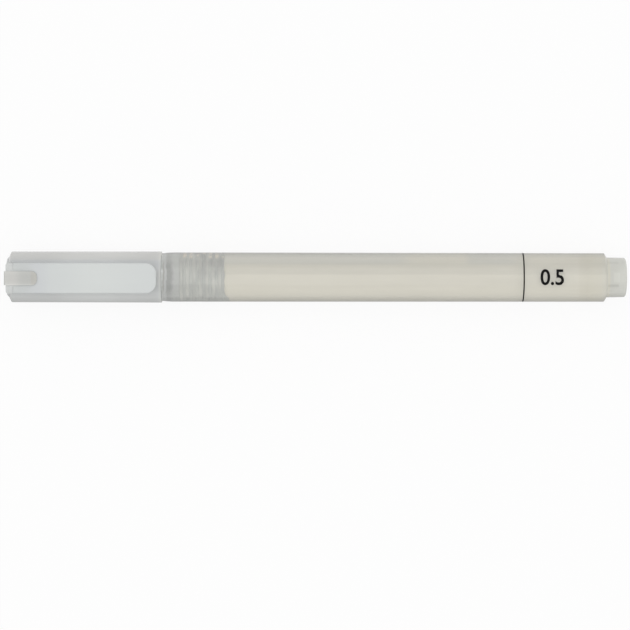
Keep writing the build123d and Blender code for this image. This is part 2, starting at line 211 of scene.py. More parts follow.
def shaded(tree, colour, by):
    """One colour laid over another by multiplying, as a stain darkens a plastic; painted light and
    shade are laid on the same way.
    """
    mix = tree.nodes.new("ShaderNodeMix")
    mix.data_type = "RGBA"
    mix.blend_type = "MULTIPLY"
    mix.inputs["Factor"].default_value = 1.0
    tree.links.new(colour, mix.inputs["A"])
    tree.links.new(by, mix.inputs["B"])
    return mix.outputs["Result"]


def mottled(tree, pale, deep, size, stretch=(1, 1, 1), detail=3.0, start=0.3, end=0.7):
    """Two tones of one colour, in clouds, streaks or threads of a size in millimetres."""
    share = between(tree, grain(tree, size, stretch, detail), 0, 1, start, end)
    return tinted(tree, share, deep, pale)


def banded(tree, axis, start, bands, wander=0.0):
    """A tone that changes along an axis, by (place, tone) in millimetres from a start."""
    place = tree.nodes.new("ShaderNodeTexCoord")
    split = tree.nodes.new("ShaderNodeSeparateXYZ")
    tree.links.new(place.outputs["Object"], split.inputs["Vector"])
    spot = split.outputs[axis]
    if wander:
        uneven = grain(tree, size=1.6, stretch=(0.3, 1, 1))
        spot = reckoned(tree, "ADD", spot, between(tree, uneven, -wander * mm, wander * mm))
    first, last = bands[0][0], bands[-1][0]
    share = between(tree, spot, 0, 1, start + first * mm, start + last * mm)
    ramp = tree.nodes.new("ShaderNodeValToRGB")
    ramp.color_ramp.interpolation = "EASE"
    stops = ramp.color_ramp.elements
    while len(stops) < len(bands):
        stops.new(0.5)
    for stop, (reach, tone) in zip(stops, bands):
        stop.position = (reach - first) / (last - first)
        stop.color = (*tone, 1) if isinstance(tone, tuple) else (tone, tone, tone, 1)
    tree.links.new(share, ramp.inputs["Fac"])
    return ramp.outputs["Color"]


def across_pen(tree, bands):
    """Bands that run along the pen, placed from its line to either side."""
    return banded(tree, "Y", 0, bands)


def along_pen(tree, bands, wander=0.0):
    """Bands that run round the pen, placed from the barrel's front."""
    return banded(tree, "X", front_face, bands, wander)


def coated(tree, colour, roughness, scuffs, ripple, stretch=(1, 1, 1), detail=3.0):
    """Gives a skin its colour, a gloss that scuffs vary, and a ripple of a size and depth."""
    skin = tree.nodes["Principled BSDF"]
    tree.links.new(colour, skin.inputs["Base Color"])
    worn = between(tree, grain(tree, scuffs, stretch, detail), *roughness)
    tree.links.new(worn, skin.inputs["Roughness"])
    ripple_size, ripple_depth = ripple
    bump = tree.nodes.new("ShaderNodeBump")
    bump.inputs["Distance"].default_value = ripple_depth * mm
    tree.links.new(grain(tree, ripple_size), bump.inputs["Height"])
    tree.links.new(bump.outputs["Normal"], skin.inputs["Normal"])
    return skin


def milky_plastic(name, pale, deep, roughness, across=None, along=None):
    """Natural plastic: cloudy flow lines along the pen under a smooth skin with fine scuffs."""
    material, tree = new_material(name)
    colour = mottled(tree, pale, deep, size=2.4, stretch=(0.18, 1, 1))
    # Bands across and along the pen, where given, lay tones over the colour; several of them are
    # painted light and shade.
    if across:
        colour = shaded(tree, colour, across_pen(tree, across))
    if along:
        colour = shaded(tree, colour, along_pen(tree, along))
    skin = coated(
        tree,
        colour,
        roughness=(roughness - 0.02, roughness + 0.03),
        scuffs=1.2,
        ripple=(2.2, 0.004),
        stretch=(0.5, 1, 1),
        detail=2.0,
    )
    skin.inputs["IOR"].default_value = 1.49
    return material


def ray_is(tree, *kinds):
    """1 for rays of any of these kinds, such as those straight from the camera."""
    path = tree.nodes.new("ShaderNodeLightPath")
    found = path.outputs[kinds[0]]
    for kind in kinds[1:]:
        found = reckoned(tree, "MAXIMUM", found, path.outputs[kind])
    return found


def joined(tree, share, first, second):
    """Joins two shaders: the first where the share is 0, the second where it is 1."""
    mix = tree.nodes.new("ShaderNodeMixShader")
    tree.links.new(share, mix.inputs["Fac"])
    tree.links.new(first, mix.inputs[1])
    tree.links.new(second, mix.inputs[2])
    return mix.outputs["Shader"]


barrel_form = turned(
    [
        (0, barrel_bore),
        barrel_nose,
        barrel_shoulder,
        barrel_bevel,
        barrel_end,
        (barrel_length, barrel_bore),
    ]
)
soften(barrel_form, barrel_rounds)
barrel_plastic = milky_plastic(
    "barrel_plastic",
    pale=(0.97, 0.97, 0.955),
    deep=(0.93, 0.93, 0.915),
    roughness=0.12,
    across=barrel_edge_shade,
)
tree = barrel_plastic.node_tree
clear_skin = tree.nodes["Principled BSDF"]
clear_skin.inputs["Transmission Weight"].default_value = barrel_clearness
open_way = tree.nodes.new("ShaderNodeBsdfTransparent")
open_way.inputs["Color"].default_value = (*light_let_in, 1)
tree.links.new(
    joined(
        tree,
        ray_is(tree, "Is Camera Ray"),
        open_way.outputs["BSDF"],
        clear_skin.outputs["BSDF"],
    ),
    tree.nodes["Material Output"].inputs["Surface"],
)
finished("barrel_tube", barrel_form, barrel_plastic, "pen_body", "clear_barrel", "barrel")


# Ring line and size numerals: printed on the barrel near the tail in black pad-printing
# ink, a film a hundredth of a millimetre thick that bends round the tube.
ink_depth = 0.012
ink_root = 0.008
ring_station = 81.66
ring_width = 0.3
numerals_start = 85.32
numerals_length = 5.26
numerals_height = 3.66
numerals_turn = math.radians(2.8)
numerals_strips = 29
numerals_smoothness = 24
numerals_boldness = 0.018


def barrel_radius(station):
    """The barrel's outer radius, with its draft."""
    draft = barrel_rear_radius - barrel_front_radius
    return barrel_front_radius + draft * station / barrel_length


def drawn_out(bm, faces, by):
    """Gives flat faces a thickness, by a shift in metres."""
    moved = bmesh.ops.extrude_face_region(bm, geom=faces)["geom"]
    corners = [item for item in moved if isinstance(item, bmesh.types.BMVert)]
    bmesh.ops.translate(bm, verts=corners, vec=by)


ink, tree = new_material("printing_ink")
ink_colour = mottled(tree, pale=(0.006, 0.006, 0.006), deep=(0.002, 0.002, 0.002), size=0.25)
ink_skin = coated(tree, ink_colour, roughness=(0.32, 0.46), scuffs=0.4, ripple=(0.2, 0.003))
ink_skin.inputs["Specular IOR Level"].default_value = 0.1

ring_front = ring_station - ring_width / 2
ring_rear = ring_station + ring_width / 2
ring_radius = barrel_radius(ring_station)
ring_form = turned(
    [
        (ring_front, ring_radius - ink_root),
        (ring_front, ring_radius + ink_depth),
        (ring_rear, ring_radius + ink_depth),
        (ring_rear, ring_radius - ink_root),
    ]
)
finished("ring_line", ring_form, ink, "pen_body", "clear_barrel")

lettering = bpy.data.curves.new("numerals", "FONT")
lettering.body = "0.5"
lettering.resolution_u = numerals_smoothness
lettering.offset = numerals_boldness
flat_text = bpy.data.objects.new("numerals", lettering)
bpy.context.scene.collection.objects.link(flat_text)
bpy.context.view_layer.update()
shown_text = flat_text.evaluated_get(bpy.context.evaluated_depsgraph_get())
flat_mesh = bpy.data.meshes.new_from_object(shown_text)
bpy.data.objects.remove(flat_text)
numerals = bmesh.new()
numerals.from_mesh(flat_mesh)
bpy.data.meshes.remove(flat_mesh)
bmesh.ops.remove_doubles(numerals, verts=numerals.verts, dist=1e-5)
xs = [v.co.x for v in numerals.verts]
ys = [v.co.y for v in numerals.verts]
to_size = Vector(
    (numerals_length / (max(xs) - min(xs)), numerals_height / (max(ys) - min(ys)), 0)
)
to_start = (-min(xs), -(min(ys) + max(ys)) / 2, 0)
bmesh.ops.translate(numerals, verts=numerals.verts, vec=to_start)
bmesh.ops.scale(numerals, verts=numerals.verts, vec=to_size * mm)
for cut in range(-(numerals_strips // 2), numerals_strips // 2 + 1):
    bmesh.ops.bisect_plane(
        numerals,
        geom=[*numerals.verts, *numerals.edges, *numerals.faces],
        plane_co=(0, cut * numerals_height * mm / numerals_strips, 0),
        plane_no=(0, 1, 0),
        dist=1e-8,
    )
drawn_out(numerals, list(numerals.faces), (0, 0, (ink_depth + ink_root) * mm))
ink_base = barrel_radius(numerals_start + numerals_length / 2) - ink_root
for v in numerals.verts:
    radius = ink_base * mm + v.co.z
    turn = numerals_turn + v.co.y / (ink_base * mm)
    v.co = (
        front_face + numerals_start * mm + v.co.x,
        radius * math.sin(turn),
        pen_line + radius * math.cos(turn),
    )
bmesh.ops.recalc_face_normals(numerals, faces=numerals.faces)
finished("size_numerals", numerals, ink, "pen_body", "clear_barrel")


# Paint: the coat of beige paint that clings to the barrel's wall from behind the valve to the
# tail plug, and seeps a little way past it. Its front edge has crept unevenly over the last rib
# of the valve and steps back on one side, and the coat is cooler and a little darker along the
# other.
paint_start = 14.2
paint_step = 15.2
paint_lip = 2.0
paint_end = 95.95
paint_outer = 4.392
paint_film = 4.387
paint_inner = 4.06
creep_rings = [0.7, 1.6, 3.2]
edge_slant = 0.25
edge_step = 0.75
edge_step_start = 0.83
edge_step_width = 0.12
edge_waves = [(0.1, 5, 1), (0.07, 11, 0)]
seep_start = 95.97
seep_end = 100.2
seep_inner = 4.365
untinted = (1, 1, 1)
# Painted shade and painted reflections across the coat: darker at its edges and over one half, with
# soft steps that stand for the reflected edges of the softboxes.
paint_painted_light = [
    (-4.35, 0.9),
    (-4.06, 1.0),
    (-3.3, 1.1),
    (-2.5, 1.09),
    (-1.7, 1.05),
    (-0.8, 1.0),
    (0.66, 1.0),
    (0.78, 0.90),
    (1.7, 0.875),
    (2.9, 0.87),
    (3.02, 0.84),
    (3.14, 0.91),
    (3.94, 0.96),
    (4.35, 0.78),
]
paint_by_plug = [
    (93.9, 1),
    (94.4, (0.95, 0.94, 0.92)),
    (95.9, (0.93, 0.92, 0.89)),
    (97.0, (0.95, 0.95, 0.915)),
    (99.2, (0.95, 0.955, 0.94)),
    (99.7, (0.94, 0.96, 0.97)),
    (100.2, (0.9, 0.92, 0.94)),
]
# The coat is cooler and a little darker on one side, over two stretches of its length.
cool_side = [(2.3, 0), (3.3, 1)]
cool_reach = [(14, 1), (52.4, 1), (57.8, 0), (68.2, 0), (69.9, 1), (77.5, 1), (83.5, 0)]
cool_tint = (0.89, 0.915, 0.965)

paint_form = turned(
    [
        (paint_start, paint_film),
        (paint_start, paint_outer),
        *[(paint_start + ring, paint_outer) for ring in creep_rings],
        (paint_end, paint_outer),
        (paint_end, paint_inner),
        (paint_step + paint_lip, paint_inner),
        (paint_step, paint_inner),
        (paint_step, paint_film),
    ]
)
for v in paint_form.verts:
    turn = math.atan2(v.co.y, v.co.z - pen_line)
    behind = (v.co.x - front_face) / mm - paint_start
    reach = max(0.0, 1 - behind / creep_rings[-1]) ** 2
    aside = max(0.0, -math.sin(turn))
    stepped = min(1.0, max(0.0, (aside - edge_step_start) / edge_step_width))
    creep = edge_step * stepped + edge_slant * aside
    for depth, count, phase in edge_waves:
        creep += depth * math.sin(count * turn + phase)
    v.co.x += max(0.0, creep) * reach * mm

paint, tree = new_material("beige_paint")
colour = mottled(
    tree,
    pale=(0.625, 0.592, 0.482),
    deep=(0.59, 0.556, 0.452),
    size=2.4,
    stretch=(0.05, 1, 1),
    detail=4.0,
)
colour = shaded(tree, colour, across_pen(tree, paint_painted_light))
colour = shaded(tree, colour, along_pen(tree, paint_by_plug))
cool_share = shaded(tree, across_pen(tree, cool_side), along_pen(tree, cool_reach))
colour = shaded(tree, colour, tinted(tree, cool_share, untinted, cool_tint))
coated(tree, colour, roughness=(0.45, 0.6), scuffs=0.6, ripple=(0.9, 0.006))
finished("paint_coat", paint_form, paint, "pen_body", "paint", "paint_film")

seep_form = turned(
    [
        (seep_start, seep_inner),
        (seep_start, paint_outer),
        (seep_end, paint_outer),
        (seep_end, seep_inner),
    ]
)
finished("seeped_paint", seep_form, paint, "pen_body", "paint")


# Valve: a ribbed polypropylene cage pushed into the barrel behind the front section, with a
# rubber seat, a plunger stem, a steel spring and a pierced retainer inside it. Thinned paint
# fills the cage's grooves, with a little thick paint on one side.
cage_front = -3.25
cage_floor = -2.25
cage_shoulder = 4.15
cage_rear = 15.0
cage_hole = 1.24
cage_bore = 3.09
cage_neck = 3.59
groove_radius = 3.56
rib_count = 8
rib_width = 0.7
rib_pitch = 1.45
rib_radius = 4.385
rib_round = (0.04, 3)
groove_paint_inner = 3.6
groove_paint_outer = 4.386
# Painted light and shade across the valve: lighter towards one side, darker towards the other and
# at the edges.
valve_painted_light = [
    (-4.3, 0.98),
    (-4.06, 1.08),
    (-3.3, 1.17),
    (-1.7, 1.09),
    (0.0, 1.06),
    (1.7, 1.0),
    (3.26, 0.86),
    (3.94, 0.95),
    (4.35, 0.92),
]
# The valve is darker on one side towards its rear.
rear_darkening = [(7.0, 1.0), (9.5, 0.88), (13.0, 0.87), (15.0, 0.9)]
darker_side = [(-1.0, 0), (1.2, 1)]
swirl = {"size": 0.9, "stretch": (0.9, 0.22, 0.22), "detail": 2.0, "start": 0.38, "end": 0.64}
thick_paint_side = [(3.7, 0), (4.1, 1)]
thick_paint = (0.56, 0.50, 0.40)


def valve_shaded(tree, colour):
    """Painted light and shade across the valve, and a darkening on one side towards its rear."""
    colour = shaded(tree, colour, across_pen(tree, valve_painted_light))
    side = across_pen(tree, darker_side)
    return shaded(tree, colour, tinted(tree, side, untinted, along_pen(tree, rear_darkening)))


def dressed(material, *names):
    """Gives CAD nodes whose shape is right their own finish."""
    for name in names:
        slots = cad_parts[name].data.materials
        slots.clear()
        slots.append(material)


rib_starts = [cage_shoulder + rib_pitch * number for number in range(rib_count)]
ribs = [
    corner
    for start in rib_starts
    for corner in (
        (start, groove_radius),
        (start, rib_radius),
        (start + rib_width, rib_radius),
        (start + rib_width, groove_radius),
    )
]
cage_form = turned(
    [
        (cage_floor, cage_bore),
        (cage_floor, cage_hole),
        (cage_front, cage_hole),
        (cage_front, cage_neck),
        (cage_shoulder, cage_neck),
        *ribs[1:-1],
        (cage_rear, cage_bore),
    ]
)
rib_rims = [(start + edge, rib_radius) for start in rib_starts for edge in (0, rib_width)]
soften(cage_form, [(rim, *rib_round) for rim in rib_rims])
cage_plastic, tree = new_material("cage_plastic")
colour = mottled(tree, pale=(0.44, 0.44, 0.394), deep=(0.318, 0.327, 0.294), **swirl)
colour = valve_shaded(tree, colour)
coated(tree, colour, roughness=(0.35, 0.5), scuffs=0.8, ripple=(1.2, 0.01))
finished("ribbed_cage", cage_form, cage_plastic, "pen_body", "cage_plastic", "valve_cage")

groove_paint = bmesh.new()
for start in rib_starts:
    groove_front, groove_rear = start + rib_width, start + rib_pitch
    ring = turned(
        [
            (groove_front, groove_paint_inner),
            (groove_front, groove_paint_outer),
            (groove_rear, groove_paint_outer),
            (groove_rear, groove_paint_inner),
        ]
    )
    ring_mesh = bpy.data.meshes.new("groove")
    ring.to_mesh(ring_mesh)
    ring.free()
    groove_paint.from_mesh(ring_mesh)
    bpy.data.meshes.remove(ring_mesh)
thin_paint, tree = new_material("thin_paint")
colour = mottled(tree, pale=(0.405, 0.412, 0.37), deep=(0.312, 0.324, 0.296), **swirl)
colour = valve_shaded(tree, colour)
specks = between(tree, grain(tree, size=1.6), 0, 1, start=0.42, end=0.56)
thick_here = reckoned(tree, "MULTIPLY", across_pen(tree, thick_paint_side), specks)
colour = tinted(tree, thick_here, colour, thick_paint)
coated(tree, colour, roughness=(0.4, 0.55), scuffs=0.6, ripple=(0.9, 0.006))
finished("groove_paint", groove_paint, thin_paint, "pen_body", "paint")

seat_rubber, tree = new_material("seat_rubber")
colour = mottled(tree, pale=(0.06, 0.06, 0.058), deep=(0.035, 0.035, 0.035), size=0.15)
coated(tree, colour, roughness=(0.6, 0.8), scuffs=0.3, ripple=(0.2, 0.01))
stem_plastic = milky_plastic(
    "stem_plastic", pale=(0.80, 0.80, 0.78), deep=(0.74, 0.74, 0.72), roughness=0.4
)
retainer_plastic = milky_plastic(
    "retainer_plastic", pale=(0.76, 0.76, 0.74), deep=(0.70, 0.70, 0.68), roughness=0.4
)
dressed(seat_rubber, "valve_seat")
dressed(stem_plastic, "valve_stem")
dressed(retainer_plastic, "spring_retainer")


def steel(name, pale, deep, roughness, stretch=(1, 1, 1)):
    """Bright steel with the fine lines that drawing or turning leaves."""
    material, tree = new_material(name)
    skin = coated(
        tree,
        mottled(tree, pale, deep, size=0.12, stretch=stretch, detail=4.0),
        roughness=(roughness - 0.05, roughness + 0.07),
        scuffs=0.2,
        ripple=(0.15, 0.002),
        stretch=stretch,
    )
    skin.inputs["Metallic"].default_value = 1.0
    return material


def copied(name):
    """A copy of a CAD node's mesh, made one skin."""
    bm = bmesh.new()
    bm.from_mesh(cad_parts[name].data)
    bmesh.ops.remove_doubles(bm, verts=bm.verts, dist=same_point)
    return bm


spring_steel = steel(
    "spring_steel", pale=(0.62, 0.62, 0.61), deep=(0.50, 0.50, 0.49), roughness=0.28
)
spring = finished(
    "closing_spring",
    copied("valve_spring"),
    spring_steel,
    "pen_body",
    "spring_steel",
    "valve_spring",
)
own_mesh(spring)


# Tail plug: a hollow polypropylene stopper pushed into the rear of the barrel. Its head has
# a little draft and a soft end. Its skin lets a little of the blind bore show through, and the
# bore's wall and end are also painted on it, as painted shade in faint dark lines and painted
# light in a paler patch.
plug_end = [(104.97, 0)]
plug_bore = [(103.2, 0), (103.2, 2.55), (95.98, 2.55)]
plug_spigot = [(95.98, 4.388), (100.55, 4.388)]
plug_neck = [(100.55, 4.36), (100.6, 4.36)]
plug_head = [(100.6, 4.52), (104.93, 4.43)]
plug_rounds = [(plug_head[1], 0.5, 8), (plug_head[0], 0.06, 3)]
plug_cover = 0.8
plug_tones = [
    (95.9, (0.88, 0.86, 0.78)),
    (99.0, (0.88, 0.86, 0.78)),
    (99.8, (0.90, 0.91, 0.92)),
    (100.9, (1.02, 1.0, 0.95)),
    (101.4, (0.97, 0.975, 0.985)),
    (105.0, (1.0, 1.01, 1.02)),
]
bore_wall_painted_shade = [
    (-2.15, 1),
    (-1.8, 0.89),
    (-1.6, 0.89),
    (-1.25, 1),
    (3.0, 1),
    (3.35, 0.92),
    (3.5, 0.92),
    (3.85, 1),
]
bore_wall_reach = [(100.4, 0), (100.7, 1), (102.9, 1), (103.2, 0)]
bore_end_painted_light = [(-1.1, 1), (-0.8, 1.06), (1.1, 1.06), (1.4, 1)]
bore_end_reach = [(101.8, 0), (102.0, 1), (103.2, 1), (103.4, 0)]


def overlaid(material, by):
    """Lays one more tone over the colour of a material."""
    tree = material.node_tree
    base = tree.nodes["Principled BSDF"].inputs["Base Color"]
    tree.links.new(shaded(tree, base.links[0].from_socket, by), base)


plug_form = turned(plug_end + plug_bore + plug_spigot + plug_neck + plug_head)
soften(plug_form, plug_rounds)
plug_plastic = milky_plastic(
    "plug_plastic",
    pale=(0.77, 0.765, 0.70),
    deep=(0.745, 0.74, 0.675),
    roughness=0.22,
    along=plug_tones,
)
tree = plug_plastic.node_tree
# Painted shade and light: dark lines for the bore's wall and a paler patch for its end.
for reach, tones in ((bore_wall_reach, bore_wall_painted_shade), (bore_end_reach, bore_end_painted_light)):
    painted_bore = tinted(tree, along_pen(tree, reach), untinted, across_pen(tree, tones))
    overlaid(plug_plastic, painted_bore)
tree.nodes["Principled BSDF"].inputs["Alpha"].default_value = plug_cover
finished("tail_stopper", plug_form, plug_plastic, "pen_body", "plug_plastic", "tail_plug")


# Front section: a round polypropylene moulding pressed into the barrel up to a thin flange, with
# a snap bead for the cap, a filleted shoulder and a long flared cone that ends in a round nose.
# A little paint has seeped into its joint with the barrel. Painted light and shade lie on it
# too: a highlight on the joint's rim, the cap's shadow in the stained band, and highlights and
# shade on the nose, the shoulder and the bead.
section_skirt = [(4.1, 3.61), (4.1, 4.388), (0.004, 4.388)]
section_flange = [(0.004, 5.1), (-0.03, 5.1)]
section_collar = [(-0.03, 4.36), (-2.7, 4.36)]
snap_bead = [(-2.95, 4.47), (-3.25, 4.51), (-3.55, 4.47)]
section_shoulder = [(-3.8, 4.36), (-4.85, 3.36)]
section_cone = [(-8.0, 3.10), (-11.0, 2.88), (-14.5, 2.66), (-17.9, 2.5)]
sleeve_hole = [(-17.9, 1.39), (-15.5, 1.39)]
plunger_bore = [(-15.5, 1.89), (-9.66, 1.89)]
fibre_ring_bore = [(-9.66, 2.34), (-3.3, 2.34)]
valve_chamber = [(-3.3, 3.61)]
section_rounds = [(section_cone[-1], 1.05, 10), (section_shoulder[-1], 0.7, 6)]
# Painted highlights and shade on the nose, the shoulder and the snap bead.
section_painted_light = [
    (-17.9, 1.1),
    (-17.2, 1.0),
    (-5.9, 1.0),
    (-5.0, 1.08),
    (-4.3, 1.03),
    (-3.9, 1.12),
    (-3.5, 0.97),
    (-3.2, 1.04),
    (-2.75, 0.93),
    (-2.3, 0.98),
    (-0.6, 1.0),
]
# A painted highlight on the joint's rim, and the cap's painted shadow mixed into the paint stain
# behind it.
painted_rim_light = 1.4
line_of_paint = (0.4, 0.39, 0.34)
clear_gap = 0.75
stain_and_cap_shadow = (0.3, 0.31, 0.29)
light_haze = (0.55, 0.55, 0.52)
skirt_seen_through = (0.64, 0.64, 0.61)
joint_rim_highlight = [(-0.4, 1), (-0.08, 1), (-0.05, painted_rim_light), (0.05, painted_rim_light), (0.2, 1)]
paint_and_shade_in_joint = [
    *joint_rim_highlight,
    (0.5, line_of_paint),
    (0.9, clear_gap),
    (1.4, stain_and_cap_shadow),
    (2.0, stain_and_cap_shadow),
    (3.0, skirt_seen_through),
    (4.1, skirt_seen_through),
]
haze_and_rim_highlight = [
    *joint_rim_highlight,
    (1.5, light_haze),
    (2.5, skirt_seen_through),
    (4.1, skirt_seen_through),
]
joint_wander = 0.2
joint_middle = [(-3.9, 0.3), (-2.0, 1), (2.0, 1), (3.9, 0.3)]

section_outside = section_skirt + section_flange + section_collar + snap_bead
section_front = section_shoulder + section_cone
section_inside = sleeve_hole + plunger_bore + fibre_ring_bore + valve_chamber
section_form = turned(section_outside + section_front + section_inside)
soften(section_form, section_rounds)
section_plastic = milky_plastic(
    "section_plastic",
    pale=(0.60, 0.615, 0.61),
    deep=(0.55, 0.565, 0.56),
    roughness=0.16,
    along=section_painted_light,
)
tree = section_plastic.node_tree
joint_stain_and_light = tinted(
    tree,
    across_pen(tree, joint_middle),
    along_pen(tree, haze_and_rim_highlight),
    along_pen(tree, paint_and_shade_in_joint, joint_wander),
)
overlaid(section_plastic, joint_stain_and_light)
finished(
    "front_cone", section_form, section_plastic, "pen_body", "section_plastic", "front_section"
)


# Nib: a point of hard bonded fibre in a stepped steel sleeve, both held in a plastic plunger
# that also carries the feed wick; a fibre ring round the plunger evens the flow.
sleeve_tail = [(-13.95, 1.04), (-13.95, 1.34)]
sleeve_step = [(-19.17, 1.34), (-19.92, 0.61)]
sleeve_tip = [(-22.82, 0.61), (-22.82, 0.42)]
sleeve_bore = [(-19.7, 0.42), (-19.0, 1.04)]
sleeve_rims = [sleeve_tip[0], *sleeve_step]
sleeve_round = (0.06, 3)
sleeve_steps = 96
# Painted reflections: light and dark bands along the steel sleeve that stand for the studio it
# mirrors.
painted_sleeve_reflections = [
    (-1.34, (0.55, 0.50, 0.45)),
    (-0.95, (0.95, 0.90, 0.84)),
    (-0.62, (0.30, 0.27, 0.25)),
    (-0.35, (0.85, 0.78, 0.70)),
    (0.0, 1),
    (0.28, (0.25, 0.23, 0.22)),
    (0.5, (0.80, 0.76, 0.72)),
    (0.8, (0.22, 0.20, 0.19)),
    (1.05, (0.9, 0.88, 0.85)),
    (1.34, (0.4, 0.38, 0.36)),
]


def fibre(name, pale, deep, roughness=0.75):
    """Bundled fibre: fine threads that run along the pen."""
    material, tree = new_material(name)
    coated(
        tree,
        mottled(tree, pale, deep, size=0.09, stretch=(0.04, 1, 1), detail=5.0),
        roughness=(roughness - 0.1, roughness + 0.1),
        scuffs=0.2,
        ripple=(0.1, 0.01),
    )
    return material


sleeve_form = turned(sleeve_tail + sleeve_step + sleeve_tip + sleeve_bore, sleeve_steps)
soften(sleeve_form, [(rim, *sleeve_round) for rim in sleeve_rims])
sleeve_steel = steel(
    "sleeve_steel",
    pale=(0.80, 0.77, 0.72),
    deep=(0.68, 0.65, 0.60),
    roughness=0.14,
    stretch=(6, 1, 1),
)
overlaid(sleeve_steel, across_pen(sleeve_steel.node_tree, painted_sleeve_reflections))
finished("nib_tube", sleeve_form, sleeve_steel, "nib_unit", "sleeve_steel", "nib_sleeve")

nib_fibre = fibre("nib_fibre", pale=(0.86, 0.85, 0.80), deep=(0.74, 0.73, 0.68), roughness=0.5)
wick_fibre = fibre("wick_fibre", pale=(0.80, 0.77, 0.70), deep=(0.66, 0.63, 0.56))
absorber_fibre = fibre("absorber_fibre", pale=(0.78, 0.75, 0.68), deep=(0.62, 0.59, 0.52))
holder_plastic = milky_plastic(
    "holder_plastic", pale=(0.76, 0.76, 0.74), deep=(0.70, 0.70, 0.68), roughness=0.4
)
dressed(nib_fibre, "nib")
dressed(wick_fibre, "feed_wick")
dressed(absorber_fibre, "absorber_ring")
dressed(holder_plastic, "nib_holder")


# Mixing ball: a polished steel ball, loose in the barrel, that stirs the paint when the pen
# is shaken. Fine lines from its grinding are left in the steel.
ball_steel = steel(
    "ball_steel", pale=(0.72, 0.72, 0.71), deep=(0.60, 0.59, 0.56), roughness=0.16
)
dressed(ball_steel, "mixing_ball")


# Cap: a polypropylene tube with a little draft, a bevelled end and a soft lip at its mouth;
# a thin polyethylene cup inside it seals on the cone.
cap_mouth = [(-0.04, 4.57)]
cap_outside = [(-0.04, 5.789), (-34.0, 5.74)]
cap_bevel = [(-34.5, 4.66), (-34.5, 4.57)]
cap_bead_groove = [(-4.0, 4.57), (-3.8, 4.67), (-2.7, 4.67), (-2.5, 4.57)]
cap_rounds = [(cap_outside[0], 0.1, 4), (cap_outside[1], 0.12, 4)]
# Painted shade across the cap: darker and cooler near the clip's edges, lighter in the middle and
# towards the sides.
cap_painted_shade = [
    (-5.2, (1.02, 1.03, 1.03)),
    (-4.4, (1.0, 1.01, 1.01)),
    (-3.7, (0.98, 0.995, 1.0)),
    (-2.8, (0.955, 0.97, 0.975)),
    (0.0, 1.02),
    (3.0, (0.955, 0.97, 0.99)),
    (3.7, (0.965, 0.98, 1.0)),
    (4.4, (1.0, 0.995, 0.985)),
    (5.2, (1.02, 1.01, 0.995)),
]
# Tones that change along the cap, with painted light at the lip that lightens the shade of the gap
# at its mouth.
cap_tones_and_lip_light = [
    (-34.0, 0.99),
    (-26.6, 0.97),
    (-18.7, 1.05),
    (-12.0, 1.07),
    (-7.4, 1.02),
    (-1.6, 0.96),
    (-0.8, 0.98),
    (-0.3, (1.05, 1.05, 1.03)),
]
cap_form = turned(cap_mouth + cap_outside + cap_bevel + cap_bead_groove)
soften(cap_form, cap_rounds)
cap_plastic = milky_plastic(
    "cap_plastic",
    pale=(0.64, 0.645, 0.635),
    deep=(0.61, 0.615, 0.605),
    roughness=0.24,
    across=cap_painted_shade,
    along=cap_tones_and_lip_light,
)
finished("cap_tube", cap_form, cap_plastic, "cap", "cap_plastic", "cap_shell")
inner_cap_plastic = milky_plastic(
    "inner_cap_plastic", pale=(0.72, 0.73, 0.72), deep=(0.66, 0.67, 0.66), roughness=0.35
)
dressed(inner_cap_plastic, "inner_cap")


# Cap end plug: a polypropylene disc that closes the cap's end and stands a little out of it. It
# is pressed in, with the edges of its moulding eased.
end_plug_ease = 0.05
flat_enough = math.radians(0.6)
sharp_enough = math.radians(28)


def eased(name, width, segments=3, over=-math.inf):
    """A copy of a CAD node, with its sharp edges over a height eased."""
    bm = copied(name)
    bmesh.ops.dissolve_limit(
        bm,
        angle_limit=flat_enough,
        verts=bm.verts,
        edges=bm.edges,
        use_dissolve_boundaries=False,
    )
    sharp = [
        e
        for e in bm.edges
        if len(e.link_faces) == 2
        and e.calc_face_angle(0) > sharp_enough
        and min(v.co.z for v in e.verts) > over
    ]
    rounded(bm, sharp, width, segments)
    return bm


end_plug_plastic = milky_plastic(
    "end_plug_plastic", pale=(0.66, 0.67, 0.67), deep=(0.62, 0.63, 0.63), roughness=0.24
)
finished(
    "cap_stopper",
    eased("cap_end_plug", end_plug_ease),
    end_plug_plastic,
    "cap",
    "end_plug_plastic",
    "cap_end_plug",
)


# Clip: a flat polypropylene plate with a round tip and softened edges, held by a strap that is
# let into the cap's end plug, bent over the clip's root and pressed flat on it.
clip_ease = 0.06
strap_ease = 0.1
strap_ease_over = 8.1
strap_underside = 7.85
strap_underside_reach = 0.02
strap_bedding = 0.052
strap_height_left = 0.5
strap_width_left = 0.955
strap_end_station = -34.9
strap_end_set_back = 0.06
# Painted light: the strap is lighter towards its edges, most on the side where shade gathers at its
# foot.
strap_edge_highlights = [
    (-1.75, 1.35),
    (-1.45, 1.16),
    (-1.1, 1.05),
    (-0.5, 1.01),
    (0.5, 1.0),
    (1.1, 1.03),
    (1.6, 1.08),
]
# A painted highlight on the strap's bent end, and darker, warmer tones towards its other end.
strap_tones_and_end_highlight = [
    (-35.06, (1.15, 1.15, 1.14)),
    (-34.95, (1.1, 1.1, 1.09)),
    (-34.85, (1.0, 1.0, 0.99)),
    (-33.0, (0.99, 0.98, 0.97)),
    (-30.6, (0.87, 0.88, 0.87)),
    (-29.2, (0.86, 0.87, 0.86)),
    (-28.7, (0.84, 0.83, 0.80)),
    (-27.6, (0.88, 0.87, 0.83)),
]
clip_tones = [
    (-34.6, 0.92),
    (-30.9, (0.87, 0.87, 0.88)),
    (-27.3, (0.915, 0.91, 0.94)),
    (-23.7, (0.96, 0.96, 0.97)),
    (-14.6, 1.0),
    (-1.0, (0.97, 0.97, 0.98)),
]

